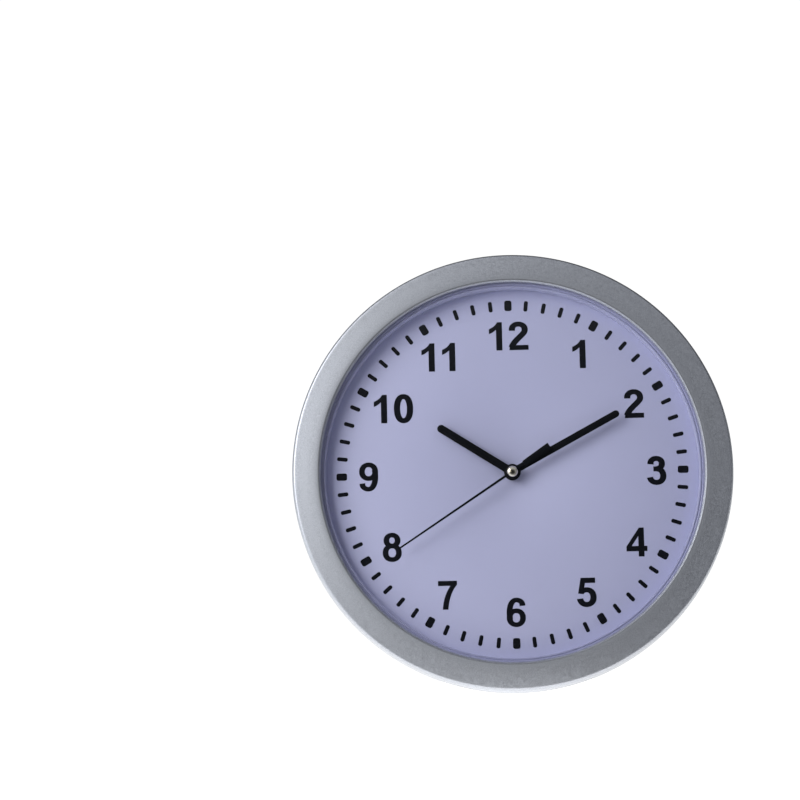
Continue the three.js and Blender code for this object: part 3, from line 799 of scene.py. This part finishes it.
sa, sl, sw = SECOND
needle = [along(sa, u, v) for u, v in [(-9, -sw / 2 - 0.1), (0, -sw / 2 - 0.1), (sl - 0.2, -0.48), (sl, -0.3), (sl, 0.3), (sl - 0.2, 0.48), (0, sw / 2 + 0.1), (-9, sw / 2 + 0.1)]]
neck = [along(sa, u, v) for u, v in [(-8.2, -0.75), (-2, -0.7), (-2, 0.7), (-8.2, 0.75)]]
tail = [along(sa, u, v) for u, v in rounded([(-8, -1.75), (-26, -2.3), (-26, 2.3), (-8, 1.75)], 0.2, 3)]
second = prism("second_hand_needle", [needle, neck, tail, circle((0, 0), 3.0, 48)], 53.9, 54.2, [circle((0, 0), 0.55, 16)], edge=0.08)
join(second, lathe("collar", rounded([(0.55, 53.6), (2.4, 53.6), (2.4, 54.1), (0.55, 54.1)], [0, 0.1, 0, 0], 2), 40))
shade(second)
add(second, "second_set", M_HAND, "hand_black", "second_hand")

dome = [(3.17 * math.cos(t), 54.40 + 1.55 * math.sin(t)) for t in [math.pi / 2 * k / 14 for k in range(15)]]
cap = lathe("cap_dome", [(0.55, 54.25), (3.05, 54.25), (3.15, 54.32)] + dome[:-1] + [(0, 55.95), (0, 54.8), (0.55, 54.8)], 72, angle=60)
add(cap, "second_set", M_CAP, "cap_nickel", "centre_cap")

# ------------------------------------------------------------------ the hidden box
shell_profile = rounded(
    [(0, 0), (110.3, 0), (116, 5.4), (116, 44.1), (113.8, 44.1), (113.8, 6.6), (110.5, 3.0), (0, 3.0)],
    [0, 5.5, 5.5, 0.5, 0.4, 3.0, 3.0, 0], 8, closed=False,
)
shell = lathe("housing_shell", shell_profile, 256)
for a, b in ((6.0, 16.0), (-16.0, -6.0)):
    join(
        shell,
        rbox("web", HINGE[0] + 0.2, -114.9, HINGE[1] - 1.5, HINGE[1] + 1.5, a, b, 0.3),
        rod("barrel", HINGE, 1.8, a, b, 40, "Z", edge=0.25),
    )
cut(shell, rod("bore", HINGE, 0.95, -17, 17, 24, "Z"))
join(shell, rbox("bracket", 100.5, 114.9, 33.0, 43.2, -6.5, 6.5, 0.8, 3))
cut(shell, rod("pocket", (106.5, 0), 4.15, 40.2, 45, 48))
join(shell, rbox("key_pocket", -8, 8, 2.0, 10, KEY_Z - 8, KEY_Z + 15, 1.0, 3))
cut(shell, rbox("key_room", -6.5, 6.5, 2.2, 8.5, KEY_Z - 6.5, KEY_Z + 13.5, 0.6))
key = prism("key", [circle((0, KEY_Z), 4.2, 48), [(-1.9, KEY_Z), (1.9, KEY_Z), (1.9, KEY_Z + 8), (-1.9, KEY_Z + 8)], circle((0, KEY_Z + 8), 1.9, 32)], -1.0, 3.4)
cut(shell, key)
# the recessed panel line and four sunk screw holes on the back, as moulded backs have
cut(shell, lathe("back_line", rounded([(101.0, -1.0), (101.9, -1.0), (101.9, 0.45), (101.0, 0.45)], [0, 0, 0.3, 0.3], 3), 192))
for sx in (-1, 1):
    for sz in (-1, 1):
        c = (sx * 62, sz * 58)
        cut(shell, lathe("sink", [(0, -1), (3.75, -1), (3.75, 0.0), (3.4, 0.35), (3.4, 1.6), (0, 1.6)], 40, c), rod("hole", c, 1.8, 1, 4, 24))
shade(shell)
add(shell, "safe_body", M_HOUSING, "housing_black", "rear_housing")

tray = lathe("compartment_tray", rounded([(0, 3.2), (110.2, 3.2), (110.2, 4.8), (0, 4.8)], [0, 0.3, 0.5, 0], 3, closed=False), 192)
for s in (-1, 1):
    join(
        tray,
        rbox("shelf", -104.5, 104.5, 4.0, 40.5, s * 36 - 1, s * 36 + 1, 0.45),
        rbox("divider", s * 40 - 1, s * 40 + 1, 4.0, 40.5, -36.2, 36.2, 0.45),
    )
join(tray, rbox("lip", -101, 101, 38.5, 40.5, 35.6, 47, 0.5), rbox("lip", -101, 101, 38.5, 40.5, -36.4, -29.5, 0.5))
for sx in (-1, 1):
    for sz in (-1, 1):
        c = (sx * 62, sz * 58)
        join(tray, lathe("boss", rounded([(0, 4.2), (4.6, 4.6), (3.6, 5.6), (3.6, 9.4), (0, 9.4)], [0, 0, 0.8, 0.5, 0], 3, closed=False), 36, c))
        cut(tray, rod("hole", c, 1.5, 2, 8.4, 24))
cut(tray, rbox("window", -8.4, 8.4, 2, 6, KEY_Z - 8.4, KEY_Z + 15.4, 0.6))
shade(tray)
add(tray, "safe_body", M_TRAY, "insert_black", "compartment_insert")


def screw(name, c, head_r, d_under, d_top, shaft_r, d_tip):
    """A dome-headed screw with a cross recess. The head points to d_top, and the shaft to d_tip."""
    s = 1 if d_top > d_under else -1
    h = abs(d_top - d_under)
    dome = [(head_r * math.cos(t), d_under + s * h * (0.35 + 0.65 * math.sin(t))) for t in [math.pi / 2 * k / 6 for k in range(7)]]
    length = abs(d_tip - d_under)
    shaft, pitch = [], 0.9
    turns = int(length / pitch) - 1
    for k in range(turns):
        h0 = d_under - s * (0.4 + k * pitch)
        shaft += [(shaft_r * 0.78, h0), (shaft_r, h0 - s * pitch * 0.35), (shaft_r * 0.78, h0 - s * pitch * 0.7)]
    profile = [(0, d_top)] + [(r, q) for r, q in reversed(dome[:-1])] + [(head_r, d_under), (shaft_r * 0.78, d_under)] + shaft + [(shaft_r * 0.5, d_tip + s * 0.3), (0, d_tip)]
    body = lathe(name, profile, 40, c)
    depth = h * 0.75
    for ang in (0, 90):
        t = rbox("cross", -head_r * 0.52, head_r * 0.52, min(d_top - s * depth, d_top + s * 0.5), max(d_top - s * depth, d_top + s * 0.5), -0.32, 0.32, 0.12)
        t.data.transform(Matrix.Rotation(math.radians(ang + 20), 4, "Y"))
        t.data.transform(Matrix.Translation((c[0] * MM, 0, c[1] * MM)))
        cut(body, t)
    return shade(body)


k = 1
for sx in (-1, 1):
    for sz in (-1, 1):
        add(screw(f"tray_screw_{k}", (sx * 62, sz * 58), 3.0, 1.5, 0.3, 1.35, 7.8), "safe_body", M_STEEL, "screw_steel", f"insert_screw_{k}")
        k += 1
for i in range(6):
    add(screw(f"pan_fixing_{i + 1}", polar((0, 0), BOLT_R, 30 + 60 * i), 2.3, 44.3, 42.9, 1.2, 52.0), "door", M_STEEL, "screw_steel", f"pan_screw_{i + 1}")

add(rod("hinge_pin_rod", HINGE, 0.85, -15.8, 15.8, 28, "Z", edge=0.3), "safe_body", M_PIN, "pin_steel", "hinge_pin")
add(rod("catch_magnet_disc", (106.5, 0), 4.0, 40.3, 43.0, 56, edge=0.3), "safe_body", M_MAGNET, "magnet_nickel", "catch_magnet")
strike = prism("strike_plate_pressed", [rounded([(101.5, -6), (111.5, -6), (111.5, 6), (101.5, 6)], 1.0, 5)], 43.7, 44.3, edge=0.1, back_edge=0.15)
add(strike, "door", M_PIN, "pin_steel", "strike_plate")
add(lathe("rubber_washer_ring", rounded([(4.4, 43.5), (9, 43.5), (9, 44.3), (4.4, 44.3)], 0.3, 3), 56), "door", M_RUBBER, "washer_rubber", "rubber_washer")

# ------------------------------------------------------------------ the movement, as far as it shows
case = rbox("movement_shell", -28, 28, 26.9, 43.4, -28, 28, 0.9, 3)
cut(
    case,
    rbox("bay", -26.5, 26.5, 20.0, 41.9, -10.4, 26.5, 0.5),
    rbox("bay", -26.5, 26.5, 20.0, 41.9, -26.5, -11.9, 0.5),
)
join(case, rod("bush", (0, 0), 4.0, 42.9, 47.8, 48, edge=0.25))
cut(case, rod("bore", (0, 0), 2.9, 40.9, 50.0, 40))
join(case, rod("post", (7.9101, -1.1963), 0.5, 37.2, 42.2, 20))
for q in ((-15.5, 19.3), (22, 14), (21.5, -6.5)):
    join(case, rod("post", q, 1.5, 35.05, 42.2, 24))
cut(case, rbox("seat", -29, -26.95, 39.5, 41.1, -6.5, 6.5), rbox("seat", 26.95, 29, 39.5, 41.1, -6.5, 6.5))
cut(case, rbox("finger", -8, 8, 24.0, 31, -29, -26.0, 0.8, 3))
shade(case)
add(case, "door", M_CASE, "movement_black", "movement_case")

lid = rbox("movement_lid", -26.3, 26.3, 26.9, 28.4, -10.2, 26.3, 0.35)
cut(lid, rod("hole", AX_K, 1.1, 25, 30, 32))
# a sunk ring round the knob and a sunk bar
sunk = lathe("sunk", rounded([(5.9, 26.0), (6.6, 26.0), (6.6, 27.25), (5.9, 27.25)], [0, 0, 0.15, 0.15], 2), 64, AX_K)
cut(lid, sunk)
sunk = prism("sunk", [rounded([(-22, 19.5), (-6, 19.5), (-6, 23), (-22, 23)], 1.0, 4)], 26.0, 27.2)
cut(lid, sunk)
shade(lid)
add(lid, "door", M_LID, "movement_black", "movement_cover")

grip = []
for i in range(96):
    ridge = 0.5 + 0.5 * math.cos(i * 2 * math.pi / 6)
    grip.append(polar(AX_K, 4.72 + 0.28 * ridge, 360 * i / 96))
knob = prism("knob_disc", [grip], 23.4, 26.4, edge=0.0, back_edge=0.35, steps=3)
cut(knob, lathe("dish", rounded([(0, 22.0), (3.3, 22.0), (3.3, 24.0), (0, 24.0)], [0, 0, 0.4, 0], 4, closed=False), 48, AX_K))
join(knob, rod("stem", AX_K, 0.8, 26.2, 41.7, 24))
shade(knob, 40)
# the pinion on the knob's stem
pinion = []
for i in range(10):
    for t, r in ((-12.5, 1.54), (-4.5, 2.36), (4.5, 2.36), (12.5, 1.54)):
        pinion.append(polar(AX_K, r, 174.4 + 36 * i + t))
join(knob, prism("pinion", [pinion], 37.6, 38.7))
shade(knob, 40)
add(knob, "knob_set", M_CASE, "movement_black", "setting_knob")

# the cell: a wrapped can with a stepped positive end, and its flat negative end
CELL = (-19.2, 34.35)
can = lathe(
    "cell_can",
    rounded(
        [(0, -24.4), (5.4, -24.4), (5.4, -24.15), (6.6, -24.15), (7.1, -23.7), (7.1, 23.6), (6.7, 24.25), (5.0, 24.25), (5.0, 24.6), (2.75, 24.6), (2.75, 25.8), (0, 25.8)],
        [0, 0.15, 0.1, 0.2, 0.35, 0.45, 0.3, 0.15, 0.2, 0.1, 0.35, 0], 4, closed=False,
    ),
    72, CELL, "X",
)
can.data.materials.clear()
can.data.materials.append(M_WRAP)
can.data.materials.append(M_PIN)
for f in can.data.polygons:
    r = math.hypot(f.center.z / MM - CELL[0], -f.center.y / MM - CELL[1])
    f.material_index = 1 if r < 6.35 else 0
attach(can, "cell")
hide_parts("battery_aa")

# the contacts: a flat plate with an eye, and a plate that carries a conical coil spring
plus = rbox("contact_plate", 25.95, 26.4, 28.6, 41.2, -25.0, -13.4, 0.12)
cut(plus, rod("eye", (-15.0, 39.6), 0.8, 25.0, 27.0, 20, "X"))
add(plus, "door", M_PIN, "pin_steel", "contact_positive")
minus = rbox("spring_plate", -26.4, -26.0, 28.6, 41.2, -25.0, -13.4, 0.12)


def coil(name, r0, r1, x0, x1, turns, wire, steps=36, sides=10):
    """A conical spring about the cell's axis."""
    verts, faces = [], []
    n = int(turns * steps)
    for i in range(n + 1):
        t = i / n
        a = 2 * math.pi * turns * t
        r = r0 + (r1 - r0) * t
        x = x0 + (x1 - x0) * t
        for j in range(sides):
            b = 2 * math.pi * j / sides
            q = r + wire * math.cos(b)
            verts.append((x + wire * math.sin(b), -(CELL[1] + q * math.cos(a)), CELL[0] + q * math.sin(a)))
    for i in range(n):
        for j in range(sides):
            k = (j + 1) % sides
            faces.append([i * sides + j, i * sides + k, (i + 1) * sides + k, (i + 1) * sides + j])
    faces.append(list(range(sides))[::-1])
    faces.append([n * sides + j for j in range(sides)])
    return mesh_object(name, verts, faces)


minus = merge("spring_contact", [minus, coil("spring", 3.9, 1.9, -25.75, -24.85, 3.0, 0.2)])
add(minus, "door", M_PIN, "pin_steel", "contact_negative")

# ------------------------------------------------------------------ CAD pieces that stay
KEPT = {
    "middle_plate": M_CASE, "stator": M_CORE, "coil_core": M_CORE, "coil_winding": M_COPPER, "circuit_board": M_BOARD,
    "quartz_crystal": M_PIN, "rotor": M_ROTOR, "intermediate_wheel": M_NYLON, "second_wheel": M_NYLON, "third_wheel": M_NYLON,
    "centre_wheel": M_NYLON, "minute_arbor": M_BRASS, "minute_wheel": M_NYLON, "hour_wheel": M_NYLON,
}
for name, mat in KEPT.items():
    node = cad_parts[name]
    if not node.material_slots:
        raise RuntimeError(f"{name} has no material slot")
    for s in node.material_slots:
        s.material = mat

# ------------------------------------------------------------------ floor, light and camera
# the clock leans back a little, so in its own frame the white table falls away towards the front; further back
# it runs level
FLOOR_TILT, FLOOR_GLOW = 12.0, 1.20


def table_white():
    n = Nodes("white_table")
    grain = n.noise(60.0, 3.0, 0.5)
    col = n.mix(grain, (0.62, 0.625, 0.63), (0.66, 0.662, 0.665))
    p = n.principled(col, 0.6, 0.0, n.bump(grain, 0.05, 0.0002))
    p.inputs["Emission Color"].default_value = (1.0, 0.985, 0.955, 1)
    p.inputs["Emission Strength"].default_value = FLOOR_GLOW
    return n.mat


def floor_line():
    """The table's section as (y, z): tilted under the clock, then a soft bend, then level."""
    slope = math.tan(math.radians(FLOOR_TILT))
    line = [(-0.092, -0.1264 - 0.049 * slope)]
    y, z = 0.010, -0.1264 + 0.053 * slope
    line.append((y, z))
    for k in range(12):
        y, z = y + 0.0025, z + 0.0025 * slope * (1 - (k + 0.5) / 12)
        line.append((y, z))
    return line + [(3.0, z)]


floor_mesh = bpy.data.meshes.new("table")
section = floor_line()
floor_mesh.from_pydata(
    [(x, y, z) for y, z in section for x in (-3, 3)], [],
    [(2 * k, 2 * k + 1, 2 * k + 3, 2 * k + 2) for k in range(len(section) - 1)],
)
for face in floor_mesh.polygons:
    face.use_smooth = True
table = link(bpy.data.objects.new("table", floor_mesh))
table.data.materials.append(table_white())

cam_data = bpy.data.cameras.new("photo_camera")
cam = link(bpy.data.objects.new("photo_camera", cam_data))
cam.location = (-0.02973, -1.92617, -0.27829)
cam.rotation_mode = "QUATERNION"
cam.rotation_quaternion = Quaternion((0.64456, 0.7644113, 0.0147355, -0.0008197))
cam_data.lens = 148.875
cam_data.sensor_width = 36
cam_data.clip_start = 0.01
cam_data.clip_end = 50
scene.camera = cam

scene.view_settings.view_transform = "Standard"
scene.view_settings.look = "None"
scene.view_settings.exposure = 0.0
scene.view_settings.gamma = 1.0


def softbox(name, pos, target, size_x, size_y, watts, color=(1, 1, 1), spread=180):
    data = bpy.data.lights.new(name, "AREA")
    data.shape = "RECTANGLE"
    data.size = size_x
    data.size_y = size_y
    data.energy = watts
    data.color = color
    data.spread = math.radians(spread)
    obj = link(bpy.data.objects.new(name, data))
    obj.location = pos
    obj.rotation_mode = "QUATERNION"
    obj.rotation_quaternion = (Vector(target) - Vector(pos)).to_track_quat("-Z", "Y")
    return obj


KEY_W = 10.4
softbox("key_left", (-0.81, -0.700, 0.275), (-0.62, 0, -0.48), 0.80, 0.72, KEY_W)


WORLD_LOW, WORLD_HIGH, WORLD_BASE = 1.07, 0.06, 0.012
WORLD_COLLAR = 0.22


def sky():
    """White where the camera looks past the object, and a soft studio gradient for the light."""
    world = bpy.data.worlds.new("studio")
    scene.world = world
    world.use_nodes = True
    t = world.node_tree
    t.nodes.clear()
    out = t.nodes.new("ShaderNodeOutputWorld")
    coord = t.nodes.new("ShaderNodeTexCoord")
    sep = t.nodes.new("ShaderNodeSeparateXYZ")
    t.links.new(coord.outputs["Generated"], sep.inputs[0])

    def ranged(value, lo, hi, to_lo, to_hi, smooth=False):
        m = t.nodes.new("ShaderNodeMapRange")
        if smooth:
            m.interpolation_type = "SMOOTHSTEP"
        t.links.new(value, m.inputs[0])
        for k, v in zip((1, 2, 3, 4), (lo, hi, to_lo, to_hi)):
            m.inputs[k].default_value = v
        return m.outputs[0]

    def calc(op, u, v):
        m = t.nodes.new("ShaderNodeMath")
        m.operation = op
        for k, w in ((0, u), (1, v)):
            if isinstance(w, (int, float)):
                m.inputs[k].default_value = w
            else:
                t.links.new(w, m.inputs[k])
        return m.outputs[0]

    around = ranged(sep.outputs[1], -0.96, -0.50, 0.0, 1.0, True)
    down = calc("POWER", ranged(sep.outputs[2], -1.0, 1.0, 1.0, 0.0), 2.0)
    level = calc("ADD", calc("MULTIPLY", down, WORLD_LOW), WORLD_HIGH)
    sides = ranged(sep.outputs[0], -0.9, 0.9, 1.9, 0.10)
    # the side away from the camera is lit more evenly
    behind = calc("MULTIPLY", ranged(sep.outputs[1], -0.10, 0.40, 0.0, 1.0, True), ranged(sep.outputs[0], 0.30, 0.85, 0.0, 1.3, True))
    sides = calc("ADD", sides, behind)
    total = calc("ADD", calc("MULTIPLY", calc("MULTIPLY", around, level), sides), WORLD_BASE)
    # a soft ring of light about the camera
    collar = calc("MULTIPLY", ranged(sep.outputs[1], -0.97, -0.80, 0.0, WORLD_COLLAR, True), ranged(sep.outputs[1], -0.55, -0.20, 1.0, 0.0, True))
    collar = calc("MULTIPLY", collar, ranged(sep.outputs[2], -0.5, 0.6, 0.35, 2.5))
    collar = calc("MULTIPLY", collar, ranged(sep.outputs[0], -0.6, 0.6, 1.35, 0.65))
    total = calc("ADD", total, collar)
    light = t.nodes.new("ShaderNodeBackground")
    light.inputs[0].default_value = (0.96, 0.98, 1.04, 1)
    t.links.new(total, light.inputs[1])
    seen = t.nodes.new("ShaderNodeBackground")
    seen.inputs[0].default_value = (1, 1, 1, 1)
    seen.inputs[1].default_value = 1.05
    path = t.nodes.new("ShaderNodeLightPath")
    mix = t.nodes.new("ShaderNodeMixShader")
    t.links.new(path.outputs["Is Camera Ray"], mix.inputs[0])
    t.links.new(light.outputs[0], mix.inputs[1])
    t.links.new(seen.outputs[0], mix.inputs[2])
    t.links.new(mix.outputs[0], out.inputs[0])


sky()
